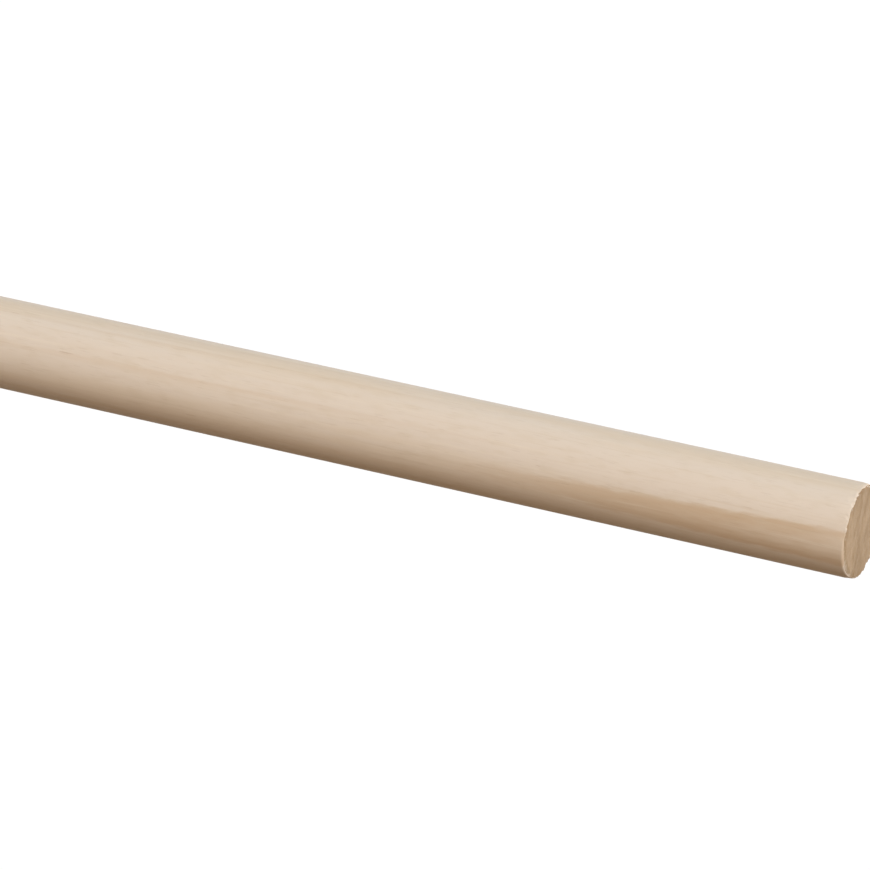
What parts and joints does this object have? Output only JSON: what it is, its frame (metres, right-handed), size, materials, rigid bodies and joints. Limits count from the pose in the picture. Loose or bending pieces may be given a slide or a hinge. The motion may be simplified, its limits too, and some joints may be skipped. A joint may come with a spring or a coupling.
{
  "type": "wooden dowel rod",
  "caption": "Straight round wooden dowel rod, sawn square at both ends, with eased end edges, standing on one end.",
  "frame": {"origin": "centre of the foot, the lower sawn face, on the surface the rod stands on", "axes": "+Z along the rod's axis from the foot to the upper sawn face; the section is round, so X and Y are any two directions square to it"},
  "size_m": [0.016, 0.016, 0.3],
  "materials": {
    "birch": "sanded, unfinished"
  },
  "bodies": {
    "root": {"dowel_rod": "birch"}
  },
  "joints": []
}
